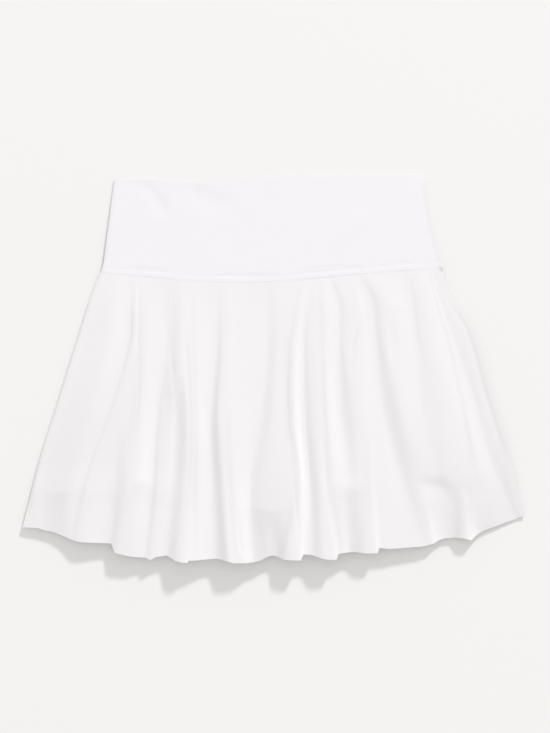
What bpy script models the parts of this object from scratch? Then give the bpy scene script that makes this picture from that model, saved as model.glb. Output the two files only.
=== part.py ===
"""A skort laid flat on its back: wide waistband, flared skirt falling in flutes, inner shorts.

Metres, +Z up. X runs across the garment and +Y towards the waist. The origin is the centre of the
garment's outline, on the surface that it lies on. Sizes and tables are in millimetres, and MM turns
them into metres. Each panel is an open surface with the cloth's thickness given by Solidify.
"""

from collections import namedtuple

import bmesh
import bpy
from mathutils import Vector

MM = 0.001

# Walls of the cloth, and the gap that touching pieces keep.
SKIRT_WALL = 1.0
SHORTS_WALL = 1.0
BAND_WALL = 1.4
GAP = 0.4
SEAM_GAP = 0.4

# The outline's centre, measured in the tables' own coordinates.
CENTRE_X = -0.5
CENTRE_Y = 0.5

# Heights of each wall's middle above the surface, from the lowest layer up.
SKIRT_BACK_Z = SKIRT_WALL / 2
SHORTS_BACK_Z = SKIRT_WALL + GAP + SHORTS_WALL / 2
SHORTS_FRONT_Z = SHORTS_BACK_Z + SHORTS_WALL + GAP
SKIRT_BED_Z = SHORTS_FRONT_Z + SHORTS_WALL + 2 * GAP + 0.1
SKIRT_SIDE_Z = SKIRT_WALL * 1.5 + SEAM_GAP
BAND_BACK_Z = BAND_WALL / 2
BAND_SIDE_Z = BAND_WALL * 1.5 + SEAM_GAP

# Outlines, as (x, y) points on smooth curves.
WAIST_SEAM = (
    (-177, 97.5), (-127, 92.7), (-76, 88.7), (-20, 87.2), (26, 90.2), (77, 94.7), (128, 99.2), (170, 102),
)
FRONT_TOP = (
    (-163, 193), (-120, 192.5), (-76, 189.3), (-30, 193), (26, 195.5), (100, 197), (130, 197), (153, 195),
)
BACK_TOP = ((-163, 192.5), (0, 193.5), (153, 194.5))
BACK_HEM = ((-255, -160), (-205, -170), (-110, -184), (-20, -187), (80, -181), (170, -168), (255, -150))
# The band's sides, as (share of the way from the top edge to the seam, x).
BAND_LEFT = ((0, -163), (0.21, -165.6), (0.43, -168.2), (0.65, -170.9), (0.89, -173.9), (1, -177))
BAND_RIGHT = ((0, 153), (0.25, 155), (0.6, 160.3), (1, 170.8))

# The skirt front falls in folds. Each row is one long line of them, a crest, edge, shelf or foot, from
# the waist seam to the hem: where it runs (x) and how far it rises above the bed of layers underneath
# (rise), both at the shares of the way down in STATIONS, and how far down its hem ends (hem, y).
STATIONS = (0.0, 0.1, 0.25, 0.5, 0.75, 1.0)
Fold = namedtuple("Fold", "name x rise hem")
FOLDS = (
    Fold("flat_a", (-167.5, -178, -190, -212, -233.5, -240.5), (0.4, 0.5, 0.4, 0.7, 0.6, 1.9), -161.5),
    Fold("crest_a", (-157, -162, -166.8, -184.5, -205.5, -223), (0.5, 1.6, 2.8, 4, 3, 2.2), -166),
    Fold("foot_a", (-146, -146, -147.8, -167.3, -191.5, -208.5), (0.5, 0.7, 0.3, 0.6, 1.4, 3.8), -172),
    Fold("top_a", (-143, -143.2, -144.8, -164, -188, -201), (0.5, 1, 1.4, 1.7, 2.6, 5.6), -174.5),
    Fold("crest_b", (-141, -141, -141.5, -159.3, -179, -193), (0.5, 1.1, 1.6, 2.1, 3, 6.2), -175.5),
    Fold("foot_c", (-138, -138, -139, -153, -159.5, -165.5), (0.45, 1, 1.5, 2.2, 3, 4.6), -177),
    Fold("top_c", (-135, -135, -135.5, -147, -151.5, -161.5), (0.45, 1.2, 1.9, 2.3, 5.6, 6.8), -186),
    Fold("crest_c", (-126.5, -128, -130.5, -135.5, -140.5, -144.5), (0.45, 1.2, 2, 3.4, 5.6, 6.8), -190),
    Fold("foot_d1", (-110.5, -111, -109.7, -119.5, -124, -131), (0.4, 0.2, 0.1, 0.4, 2.6, 5.2), -191),
    Fold("top_d1", (-108.5, -108.8, -108, -115.5, -119.5, -126), (0.4, 0.2, 0.2, 1.2, 3.8, 6.1), -193.5),
    Fold("crest_d", (-106.5, -107, -106.8, -106, -112, -120), (0.4, 0.3, 0.3, 1.8, 3.5, 5.6), -190.5),
    Fold("foot_d", (-104.5, -104.5, -105.5, -99, -102, -109), (0.4, 0.3, 0.4, 1.4, 2.2, 5), -189),
    Fold("top_d", (-95, -95, -95, -89, -92.5, -99.5), (0.45, 1.2, 2.4, 4, 4.9, 9.6), -194),
    Fold("crest_e", (-90, -90, -89, -85.5, -87.5, -93.5), (0.45, 1.2, 2.4, 4, 5.2, 10.9), -195.3),
    Fold("edge_e", (-86, -86.5, -85.5, -82.5, -84, -88), (0.45, 1.1, 2.6, 4.2, 5.2, 10.5), -195.5),
    Fold("foot_e", (-85, -85.5, -84, -81.5, -82.5, -86.5), (0.45, 1, 2.5, 4.1, 5, 10.1), -193.5),
    Fold("crest_g", (-79, -79, -78.5, -77.5, -77.5, -79.5), (0.45, 1.2, 2.6, 3.9, 5, 8.6), -193.5),
    Fold("foot_f", (-55.5, -57.5, -58.5, -64.5, -62, -59), (0.45, 0.7, 1, 1.6, 2.6, 5.6), -192),
    Fold("top_f", (-52.5, -53, -53.5, -56.5, -52, -46.5), (0.45, 1.1, 2.2, 4.4, 6, 10.6), -194.5),
    Fold("crest_h", (-45.5, -46, -46, -49, -46, -41), (0.45, 1.3, 2.4, 4.4, 6, 10.5), -196),
    Fold("edge_h", (-39, -39, -39, -42.5, -39.5, -30), (0.45, 1.1, 2, 4.2, 6, 9.7), -196),
    Fold("shelf_h", (-12.5, -12.5, -12.5, -18, -25, -21), (0.4, 0.5, 0.7, 1.3, 2.8, 6.1), -195.7),
    Fold("foot_g", (-8.5, -6.5, -6.5, -12.5, -23, -13.5), (0.35, 0.3, 0.4, 1.2, 2.8, 6), -193.5),
    Fold("top_g", (5.5, 3.5, 1.5, -3.5, -13.5, -7), (0.4, 0.9, 1.6, 2.9, 4.4, 6.2), -190),
    Fold("flat_g", (18, 12, 7.5, 4.5, 3.5, -2), (0.4, 1, 1.6, 3, 5.4, 6.4), -189),
    Fold("foot_i", (27, 20, 14, 13, 19, 3), (0.4, 0.9, 1.8, 2.9, 5.6, 6.9), -190),
    Fold("top_i", (29.5, 24.5, 17.5, 16.5, 23.5, 9.5), (0.45, 1.5, 2.6, 3.7, 6, 10.3), -192.5),
    Fold("crest_i", (31, 28, 21.5, 21, 27, 20), (0.5, 1.4, 2.6, 3.8, 6, 10.9), -193),
    Fold("edge_i", (33, 30.5, 27, 27, 32, 26.5), (0.45, 1.2, 1.1, 1.6, 4, 10.5), -193),
    Fold("foot_j", (34, 32, 29.5, 31, 35.5, 29), (0.45, 1.1, 0.9, 1.3, 3.5, 8), -187.5),
    Fold("low_j", (34.5, 32.7, 30.5, 32.5, 37, 37), (0.45, 1.1, 0.9, 1.5, 3.6, 7.1), -188),
    Fold("top_j", (37, 36, 34, 38, 44.5, 48.5), (0.45, 1.1, 1.6, 2.8, 6, 10.2), -191.5),
    Fold("crest_j", (40, 40, 39, 43, 49, 55), (0.5, 1.2, 1.9, 3.2, 6.4, 10.3), -192.5),
    Fold("edge_j", (44.5, 45, 45.5, 48.5, 53.5, 62.5), (0.5, 1.2, 1.9, 3.2, 6, 9.7), -192.5),
    Fold("foot_k", (45.5, 46, 47, 50.5, 55, 64.5), (0.5, 1.2, 1.9, 3.2, 6, 8.5), -187),
    Fold("crest_k", (50.5, 51.5, 51.5, 54.5, 60.5, 70.5), (0.55, 1.6, 2.1, 3.5, 6.1, 7.4), -186),
    Fold("foot_l", (56.5, 65, 66, 67.8, 75.5, 76.5), (0.45, 0.4, 0.5, 1.1, 4.4, 5.4), -185.5),
    Fold("top_l", (60.5, 71, 70, 79.5, 84.5, 83.5), (0.5, 1, 1.2, 3.2, 4.7, 6), -185.5),
    Fold("crest_l", (68.5, 79, 79, 89, 90.5, 90.5), (0.5, 1.2, 1.8, 3.4, 4.7, 7.9), -186.5),
    Fold("edge_l", (76, 86, 89, 97, 98.5, 104), (0.5, 1.2, 1.6, 2.7, 4.9, 8), -186),
    Fold("foot_m", (77, 87.5, 91, 99, 100, 106), (0.5, 1.1, 1.4, 2.4, 4.6, 6.8), -181),
    Fold("flat_m", (82, 92, 97, 107, 113, 117), (0.45, 0.7, 0.8, 1.7, 3.7, 5.8), -182.3),
    Fold("low_m", (87, 99.5, 104, 112.5, 129.5, 149.5), (0.45, 0.5, 0.7, 1.5, 2.4, 4), -180),
    Fold("top_m", (93, 106, 110.5, 124.5, 139.5, 156.5), (0.55, 1.5, 2.2, 3.5, 3.3, 3.8), -178.5),
    Fold("crest_n", (102, 114, 119.5, 129.5, 145.5, 161), (0.6, 1.8, 2.4, 3.8, 3.6, 3.6), -177.3),
    Fold("flat_n", (119.5, 127, 132.5, 143.5, 152.5, 166), (0.5, 1.2, 1.8, 2.8, 3.6, 2), -174.5),
    Fold("foot_o", (136, 139.5, 144, 150, 164, 172.5), (0.45, 0.6, 1.1, 2.4, 3.2, 0.9), -172.3),
    Fold("top_o", (140, 144.5, 150, 168, 176, 178.5), (0.5, 1.1, 1.8, 3, 3.6, 0.8), -172),
    Fold("crest_o", (148, 152, 160, 178, 184, 182.5), (0.55, 1.3, 1.9, 2.8, 3.4, 1.4), -171.3),
    Fold("top_q", (154, 158.5, 168, 184, 192.5, 191.5), (0.5, 1, 1.4, 2.4, 3.3, 4.2), -171.8),
    Fold("crest_q", (157, 161.5, 173.5, 188.5, 197, 199.5), (0.45, 0.7, 1, 2, 3.2, 4.3), -173.9),
    Fold("foot_q", (158, 162.8, 175, 190, 201.5, 209), (0.45, 0.65, 0.95, 1.85, 3, 2.2), -166.4),
    Fold("crest_p", (159, 164, 176.5, 191.5, 206, 234), (0.45, 0.6, 0.9, 1.7, 2.8, -0.7), -156.6),
    Fold("foot_p", (161.5, 166.5, 180.5, 203, 219.5, 247.5), (0.4, 0.4, 0.7, 0.9, 1, -1.2), -151.7),
    Fold("top_p", (164, 169.5, 188.5, 208, 227, 249), (0.45, 0.5, 1.2, 1.6, 1.5, -0.9), -151.1),
    Fold("flat_p", (166, 172, 194, 212.5, 232, 250), (0.45, 0.5, 1.2, 1.4, 1.6, -0.8), -150.6),
)
# The skirt's sides: x at STATIONS and the hem's y.
Side = namedtuple("Side", "x hem inward")
LEFT_SIDE = Side((-178.2, -187.6, -200, -220.2, -240.4, -256), -161, 1)
RIGHT_SIDE = Side((170.8, 177.7, 200, 218.5, 238, 255), -149.5, -1)
# Where the front rolls down to meet the back: (distance from the side, share of the way up to the bed).
SIDE_ROLL = ((0, 0), (1, 0.55), (3.5, 1))

# Low folds of the skirt back near its hem, under the flutes: middle x, height and half width at the hem.
BackFold = namedtuple("BackFold", "x height reach")
BACK_FOLDS = (
    BackFold(-190, 2.5, 11),
    BackFold(-147, 2.5, 13),
    BackFold(-88, 4, 12),
    BackFold(-32, 4, 14),
    BackFold(24, 3.5, 9),
    BackFold(57, 4, 10),
    BackFold(99, 3, 11),
    BackFold(150, 1.5, 12),
    BackFold(197, 2.5, 12),
)
BACK_FOLDS_START = 0.87

# The mouth at the waist: how far the band's front lifts off the back, by share of the way across.
MOUTH_LIFT = ((0, 0), (0.12, 0.5), (0.28, 0.1), (0.5, 0.4), (0.72, 0.2), (0.9, 0.5), (1, 0))
BAND_SIDE_ROLL = 7.0
BAND_REST = 0.15
BAND_SEAM_RISE = 2.7

# Inner shorts: the middle seam runs straight from the waist to the crotch. Each leg has the x of its
# outer edge at the waist, and its hem as (x, y) points from the inner edge to the outer one.
SHORTS_MIDDLE_X = -3.5
CROTCH = (2, -52)
CROTCH_SHARE = 0.6
Leg = namedtuple("Leg", "side outer_x hem")
LEGS = (
    Leg("left", -168, ((-9, -143), (-78, -129), (-133, -124), (-236, -125))),
    Leg("right", 161, ((22, -138), (72, -125), (166, -112), (222, -108))),
)

# How finely each panel is divided.
FOLD_COLUMN_WIDTH = 6.4
SKIRT_FRONT_ROWS = 11
SKIRT_BACK_COLUMNS = 48
SKIRT_BACK_ROWS = (0, 0.3, 0.6, BACK_FOLDS_START, 0.94, 1)
BAND_COLUMNS = 18
BAND_ROWS = 4
SHORTS_COLUMNS = 8
SHORTS_ROWS = 5
SMOOTH_ANGLE = 1.0

CLOTH_WHITE = (0.88, 0.87, 0.88, 1.0)
SHORTS_WHITE = (0.85, 0.84, 0.85, 1.0)


def mix(low, high, share):
    return low + (high - low) * share


def ease(share):
    """0 to 1 with a level start and end."""
    return share * share * (3 - 2 * share)


def curve(points, at):
    """The value at a station on the smooth curve through (station, value) points."""
    last = len(points) - 2
    start = 0
    while start < last and at > points[start + 1][0]:
        start += 1
    x0, y0 = points[start]
    x1, y1 = points[start + 1]
    x_before, y_before = points[max(start - 1, 0)]
    x_after, y_after = points[min(start + 2, last + 1)]
    span = x1 - x0
    share = (at - x0) / span
    leave = (y1 - y_before) / (x1 - x_before) * span
    arrive = (y_after - y0) / (x_after - x0) * span
    bend = share * (1 - share)
    value = mix(y0, y1, ease(share))
    return value + bend * ((1 - share) * leave - share * arrive)


def place(x, y, z):
    """A point of the tables, in metres about the origin."""
    return ((x - CENTRE_X) * MM, (y - CENTRE_Y) * MM, z * MM)


def through_stations(values, down):
    return curve(tuple(zip(STATIONS, values)), down)


def front_knots(down):
    """Corner points of the skirt front's section, from left to right: (x, z, x at the seam, hem's y)."""
    folds = []
    for fold in FOLDS:
        rise = max(through_stations(fold.rise, down), 0)
        folds.append((through_stations(fold.x, down), SKIRT_BED_Z + rise, fold.x[0], fold.hem))
    rolls = []
    for side, neighbour in ((LEFT_SIDE, folds[0]), (RIGHT_SIDE, folds[-1])):
        roll = []
        side_x = through_stations(side.x, down)
        for distance, share in SIDE_ROLL:
            toward = distance / abs(neighbour[0] - side_x)
            z = mix(SKIRT_SIDE_Z, neighbour[1], share)
            seam_x = mix(side.x[0], neighbour[2], toward)
            roll.append((side_x + side.inward * distance, z, seam_x, mix(side.hem, neighbour[3], toward)))
        rolls.append(roll)
    return rolls[0] + folds + rolls[1][::-1]


def between(knots, index, share):
    """(x, z) on the smooth curve that passes through the knots, between one knot and the next."""
    near = Vector(knots[index][:2])
    far = Vector(knots[index + 1][:2])
    before = Vector(knots[index - 1][:2]) if index else 2 * near - far
    after = Vector(knots[index + 2][:2]) if index + 2 < len(knots) else 2 * far - near
    span = (far - near).length ** 0.5
    span_before = (near - before).length ** 0.5
    span_after = (after - far).length ** 0.5
    step = far - near
    leave = step / span + (near - before) / span_before - (far - before) / (span + span_before)
    arrive = step / span + (after - far) / span_after - (after - near) / (span + span_after)
    bend = share * (1 - share) * span
    return near + step * ease(share) + bend * ((1 - share) * leave - share * arrive)


def front_columns():
    """Where the columns of the skirt front lie: (knot on the left, share of the way to the next)."""
    knots = front_knots(STATIONS[-1])
    columns = []
    for index in range(len(knots) - 1):
        width = knots[index + 1][0] - knots[index][0]
        parts = max(1, round(width / FOLD_COLUMN_WIDTH))
        columns += [(index, part / parts) for part in range(parts)]
    return columns + [(len(knots) - 2, 1.0)]


def skirt_front_rows():
    columns = front_columns()
    rows = []
    for row in range(SKIRT_FRONT_ROWS + 1):
        down = row / SKIRT_FRONT_ROWS
        knots = front_knots(down)
        points = []
        for index, share in columns:
            x, z = between(knots, index, share)
            lowest = min(knots[index][1], knots[index + 1][1], SKIRT_BED_Z)
            seam_x = mix(knots[index][2], knots[index + 1][2], share)
            hem = mix(knots[index][3], knots[index + 1][3], share)
            seam = curve(WAIST_SEAM, seam_x) - SEAM_GAP
            points.append(place(x, mix(seam, hem, down), max(z, lowest)))
        rows.append(points)
    return rows


def back_rise(x, down):
    """How far the skirt back's low folds lift it at x."""
    growth = max(down - BACK_FOLDS_START, 0) / (1 - BACK_FOLDS_START)
    rise = 0.0
    for fold in BACK_FOLDS:
        away = min(abs(x - fold.x) / fold.reach, 1)
        rise += fold.height * growth * ease(1 - away)
    return rise


def skirt_back_rows():
    rows = []
    for down in SKIRT_BACK_ROWS:
        left = through_stations(LEFT_SIDE.x, down)
        right = through_stations(RIGHT_SIDE.x, down)
        points = []
        for column in range(SKIRT_BACK_COLUMNS + 1):
            across = column / SKIRT_BACK_COLUMNS
            x = mix(left, right, across)
            top = curve(WAIST_SEAM, mix(LEFT_SIDE.x[0], RIGHT_SIDE.x[0], across)) - SEAM_GAP
            hem = curve(BACK_HEM, mix(LEFT_SIDE.x[-1], RIGHT_SIDE.x[-1], across))
            points.append(place(x, mix(top, hem, down), SKIRT_BACK_Z + back_rise(x, down)))
        rows.append(points)
    return rows


def band_rows(top_edge, height):
    """Points of half the waistband, from its top edge to the seam; height gives z from x, across and down."""
    rows = []
    for row in range(BAND_ROWS + 1):
        down = row / BAND_ROWS
        left = curve(BAND_LEFT, down)
        right = curve(BAND_RIGHT, down)
        points = []
        for column in range(BAND_COLUMNS + 1):
            across = column / BAND_COLUMNS
            x = mix(left, right, across)
            top = curve(top_edge, mix(BAND_LEFT[0][1], BAND_RIGHT[0][1], across))
            seam = curve(WAIST_SEAM, mix(BAND_LEFT[-1][1], BAND_RIGHT[-1][1], across))
            side_distance = min(x - left, right - x)
            z = height(across, down, min(side_distance / BAND_SIDE_ROLL, 1))
            points.append(place(x, mix(top, seam, down), z))
        rows.append(points)
    return rows


def band_front_height(across, down, from_side):
    lift = max(curve(MOUTH_LIFT, across), 0) * (1 - down) ** 2
    seam_rise = BAND_SEAM_RISE * ease(down)
    return BAND_SIDE_Z + ease(from_side) * (BAND_REST + lift + seam_rise)


def band_back_height(across, down, from_side):
    return BAND_BACK_Z


def shorts_rows(leg, z):
    """Points of one leg panel, from the seam to the leg's hem, each row from the middle outwards."""
    outward = 1 if leg.outer_x > SHORTS_MIDDLE_X else -1
    clear = outward * SEAM_GAP / 2
    hem = tuple(sorted(leg.hem))
    inner_hem = leg.hem[0]
    outer_hem = leg.hem[-1]
    inner_top = (SHORTS_MIDDLE_X, curve(WAIST_SEAM, SHORTS_MIDDLE_X) - SEAM_GAP)
    outer_top = (leg.outer_x, curve(WAIST_SEAM, leg.outer_x) - SEAM_GAP)
    rows = []
    for row in range(SHORTS_ROWS + 1):
        down = row / SHORTS_ROWS
        if down <= CROTCH_SHARE:
            start, end, share = inner_top, CROTCH, down / CROTCH_SHARE
        else:
            start, end, share = CROTCH, inner_hem, (down - CROTCH_SHARE) / (1 - CROTCH_SHARE)
        inner = (mix(start[0], end[0], share) + clear, mix(start[1], end[1], share))
        outer = (mix(outer_top[0], outer_hem[0], down), mix(outer_top[1], outer_hem[1], down))
        points = []
        for column in range(SHORTS_COLUMNS + 1):
            across = column / SHORTS_COLUMNS
            seam_y = curve(WAIST_SEAM, mix(inner_top[0], outer_top[0], across)) - SEAM_GAP
            seam_bow = seam_y - mix(inner_top[1], outer_top[1], across)
            hem_y = curve(hem, mix(inner_hem[0], outer_hem[0], across))
            hem_bow = hem_y - mix(inner_hem[1], outer_hem[1], across)
            y = mix(inner[1], outer[1], across) + mix(seam_bow, hem_bow, down)
            points.append(place(mix(inner[0], outer[0], across), y, z))
        rows.append(points)
    return rows


def cloth_material(name, colour):
    material = bpy.data.materials.new(name)
    material.use_nodes = True
    shader = material.node_tree.nodes["Principled BSDF"]
    shader.inputs["Base Color"].default_value = colour
    shader.inputs["Roughness"].default_value = 0.85
    shader.inputs["Metallic"].default_value = 0.0
    material.diffuse_color = colour
    return material


def panel(name, rows, wall, colour, collection):
    """A cloth panel: a grid laid through the rows of points, with the wall's thickness about it."""
    down_count = len(rows) - 1
    across_count = len(rows[0]) - 1
    mesh = bpy.data.meshes.new(name)
    grid = bmesh.new()
    bmesh.ops.create_grid(grid, x_segments=across_count, y_segments=down_count, size=0.5)
    for vertex in grid.verts:
        column = round((vertex.co.x + 0.5) * across_count)
        row = round((0.5 - vertex.co.y) * down_count)
        vertex.co = rows[row][column]
    grid.to_mesh(mesh)
    grid.free()
    mesh.shade_smooth()
    mesh.set_sharp_from_angle(angle=SMOOTH_ANGLE)
    mesh.materials.append(cloth_material(name, colour))
    piece = bpy.data.objects.new(name, mesh)
    collection.objects.link(piece)
    solidify = piece.modifiers.new("cloth thickness", "SOLIDIFY")
    solidify.thickness = wall * MM
    solidify.offset = 0.0
    return piece


def build_waistband(collection):
    front = band_rows(FRONT_TOP, band_front_height)
    back = band_rows(BACK_TOP, band_back_height)
    panel("waistband_front", front, BAND_WALL, CLOTH_WHITE, collection)
    panel("waistband_back", back, BAND_WALL, CLOTH_WHITE, collection)


def build_skirt(collection):
    panel("skirt_front", skirt_front_rows(), SKIRT_WALL, CLOTH_WHITE, collection)
    panel("skirt_back", skirt_back_rows(), SKIRT_WALL, CLOTH_WHITE, collection)


def build_shorts(collection):
    for leg in LEGS:
        for layer, z in (("front", SHORTS_FRONT_Z), ("back", SHORTS_BACK_Z)):
            name = f"shorts_{layer}_{leg.side}"
            panel(name, shorts_rows(leg, z), SHORTS_WALL, SHORTS_WHITE, collection)


def main():
    for old in list(bpy.data.objects):
        bpy.data.objects.remove(old, do_unlink=True)
    skort = bpy.data.collections.new("skort")
    bpy.context.scene.collection.children.link(skort)
    build_waistband(skort)
    build_skirt(skort)
    build_shorts(skort)


main()
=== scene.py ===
"""Looks of the skort laid flat on its back: fine cloth, waist seam, stitches, floor, light and camera.

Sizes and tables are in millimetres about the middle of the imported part, +X across the garment to the
right, +Y towards the waist and +Z up from the floor; MM and place() turn them into the row frame.
"""

import math
from collections import namedtuple

import bpy
import numpy as np
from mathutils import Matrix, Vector


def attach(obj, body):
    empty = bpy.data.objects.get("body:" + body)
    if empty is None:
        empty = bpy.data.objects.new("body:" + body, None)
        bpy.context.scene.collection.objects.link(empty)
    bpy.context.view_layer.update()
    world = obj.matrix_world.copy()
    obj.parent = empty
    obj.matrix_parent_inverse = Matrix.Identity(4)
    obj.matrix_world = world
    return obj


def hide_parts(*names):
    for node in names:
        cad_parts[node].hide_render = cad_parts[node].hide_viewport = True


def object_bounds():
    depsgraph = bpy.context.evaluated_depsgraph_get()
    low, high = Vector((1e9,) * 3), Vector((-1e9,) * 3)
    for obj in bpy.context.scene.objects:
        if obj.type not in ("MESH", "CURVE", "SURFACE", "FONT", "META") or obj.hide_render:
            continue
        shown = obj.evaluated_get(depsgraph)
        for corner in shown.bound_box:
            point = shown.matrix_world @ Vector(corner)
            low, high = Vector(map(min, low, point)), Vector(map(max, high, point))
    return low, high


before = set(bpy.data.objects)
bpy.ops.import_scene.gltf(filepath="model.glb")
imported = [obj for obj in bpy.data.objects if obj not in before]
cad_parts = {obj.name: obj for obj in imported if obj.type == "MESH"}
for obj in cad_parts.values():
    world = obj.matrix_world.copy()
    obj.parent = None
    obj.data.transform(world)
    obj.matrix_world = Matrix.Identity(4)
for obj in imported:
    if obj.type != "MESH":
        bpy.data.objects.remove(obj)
CAD_LOW, CAD_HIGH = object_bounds()

MM = 0.001
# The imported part's middle and floor, and the middle of its outline as the tables measure it.
ORIGIN = ((CAD_LOW.x + CAD_HIGH.x) / 2, (CAD_LOW.y + CAD_HIGH.y) / 2, CAD_LOW.z)
MIDDLE_X = -0.5
MIDDLE_Y = 0.5

# Thickness of the cloth.
SKIRT_CLOTH = 0.7
SHORTS_CLOTH = 0.6
BAND_CLOTH = 0.9

# Heights of each layer's middle above the floor. BED_Z is where the skirt front lies on the shorts, and
# SKIRT_SIDE_Z where it comes down at its sides. The band's front slants from its top edge to its seam.
SKIRT_BACK_Z = 0.35
SHORTS_BACK_Z = 1.05
SHORTS_FRONT_Z = 1.74
BED_Z = 2.5
SKIRT_SIDE_Z = 1.1
BAND_BACK_Z = 0.45
BAND_FRONT_Z = 1.42
BAND_SEAM_Z = 2.8

# Outlines, as (x, y) points on smooth curves.
WAIST_SEAM = (
    (-177, 97.5), (-127, 92.7), (-76, 88.7), (-20, 87.2), (26, 90.2), (77, 94.7), (128, 99.2), (170, 102),
)
BAND_TOP = (
    (-163, 193), (-120, 192.5), (-76, 189.3), (-30, 193), (26, 195.5), (100, 197), (130, 197), (153, 195),
)
BACK_HEM = ((-255, -160), (-205, -170), (-110, -184), (-20, -187), (80, -181), (170, -168), (255, -150))
# The band's sides, as (share of the way from the top edge to the seam, x).
BAND_LEFT = ((0, -163), (0.21, -165.6), (0.43, -168.2), (0.65, -170.9), (0.89, -173.9), (1, -177))
BAND_RIGHT = ((0, 153), (0.25, 155), (0.6, 160.3), (1, 170.8))

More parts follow.
